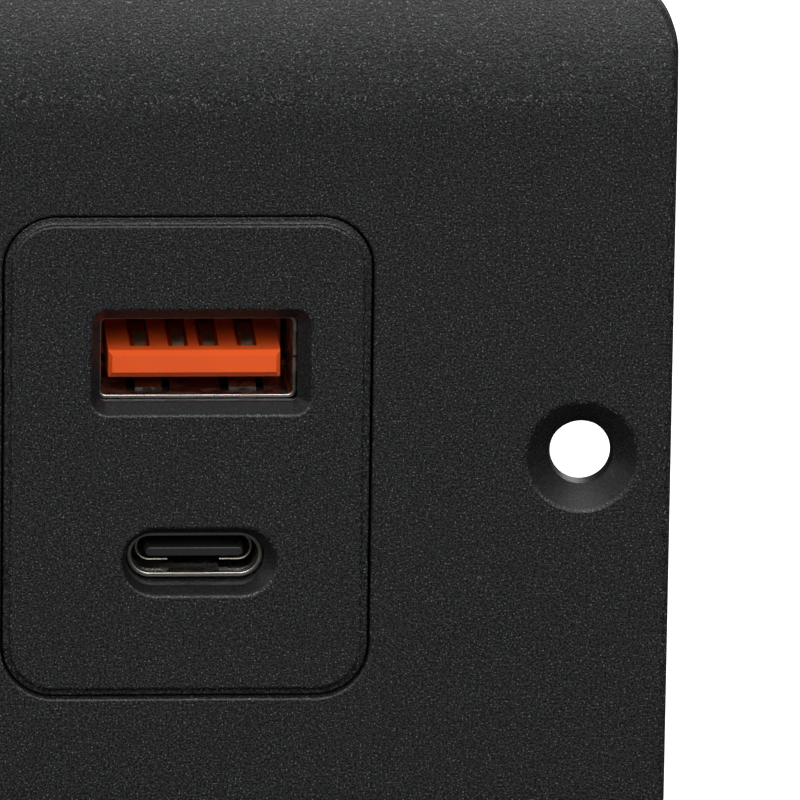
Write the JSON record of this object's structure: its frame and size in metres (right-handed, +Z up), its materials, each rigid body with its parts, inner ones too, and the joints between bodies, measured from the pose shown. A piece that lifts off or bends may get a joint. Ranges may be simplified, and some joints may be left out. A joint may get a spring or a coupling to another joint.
{
  "type": "recessed power strip",
  "caption": "Recessed furniture power strip: a black textured faceplate with countersunk end holes, shuttered mains outlets, a USB insert and a deep rear housing.",
  "frame": {"origin": "middle of the faceplate's rear face, in the plane that seats on the furniture panel", "axes": "+X along the faceplate to the USB end, +Y into the panel, away from the show face, +Z up"},
  "size_m": [0.14, 0.0415, 0.064],
  "materials": {
    "plate_plastic": "fine spark-eroded texture, matte black",
    "insert_plastic": "fine spark-eroded texture with a smooth sunk rim",
    "housing_plastic": "plain moulded, matte black",
    "orange_plastic": "semi-gloss moulded, orange",
    "dark_plastic": "semi-gloss moulded, black",
    "grey_plastic": "moulded, grey",
    "sheet_plastic": "punched sheet, off-white",
    "plated_steel": "drawn and plated",
    "screw_steel": "zinc plated",
    "brass": "stamped",
    "circuit_board": "green solder resist",
    "ferrite": "sintered, dark grey",
    "winding_tape": "yellow polyester tape",
    "can_sleeve": "shrunk sleeve, dark blue",
    "live_sleeve": "extruded, red",
    "neutral_sleeve": "extruded, white"
  },
  "bodies": {
    "chassis": {"bar_insulator": "sheet_plastic", "board_screw_1": "screw_steel", "board_screw_2": "screw_steel", "carrier_screw_1": "screw_steel", "carrier_screw_2": "screw_steel", "carrier_screw_3": "screw_steel", "carrier_screw_4": "screw_steel", "contact_carrier": "grey_plastic", "controller_chip": "dark_plastic", "cord_gland": "housing_plastic", "earth_bar": "brass", "faceplate": "plate_plastic", "fuse": "dark_plastic", "gland_nut": "housing_plastic", "housing_screw_1": "screw_steel", "housing_screw_2": "screw_steel", "housing_screw_3": "screw_steel", "housing_screw_4": "screw_steel", "input_capacitor": "can_sleeve", "live_bar": "brass", "live_lead": "live_sleeve", "neutral_bar": "brass", "neutral_lead": "neutral_sleeve", "outlet_insert_1": "insert_plastic", "outlet_insert_2": "insert_plastic", "output_capacitor": "can_sleeve", "rear_housing": "housing_plastic", "shutter_spring_1": "plated_steel", "shutter_spring_2": "plated_steel", "terminal_screw_earth": "screw_steel", "terminal_screw_live": "screw_steel", "terminal_screw_neutral": "screw_steel", "transformer_core": "ferrite", "transformer_winding": "winding_tape", "usb_a_contact_1": "brass", "usb_a_contact_2": "brass", "usb_a_contact_3": "brass", "usb_a_contact_4": "brass", "usb_a_shell": "plated_steel", "usb_a_tongue": "orange_plastic", "usb_board": "circuit_board", "usb_c_ground_plate": "plated_steel", "usb_c_shell": "plated_steel", "usb_c_tongue": "dark_plastic", "usb_case": "grey_plastic", "usb_insert": "insert_plastic"},
    "shutter_1": {"safety_shutter_1": "grey_plastic"},
    "shutter_2": {"safety_shutter_2": "grey_plastic"}
  },
  "joints": [
    {"name": "shutter_slide_1", "type": "slide", "parent": "chassis", "child": "shutter_1", "axis": [-1, 0, 0], "range_m": [0, 0.0032], "stiffness_N_per_m": 60, "springref_m": -0.002, "deforming": ["shutter_spring_1"]},
    {"name": "shutter_slide_2", "type": "slide", "parent": "chassis", "child": "shutter_2", "axis": [-1, 0, 0], "range_m": [0, 0.0032], "stiffness_N_per_m": 60, "springref_m": -0.002, "deforming": ["shutter_spring_2"]}
  ]
}
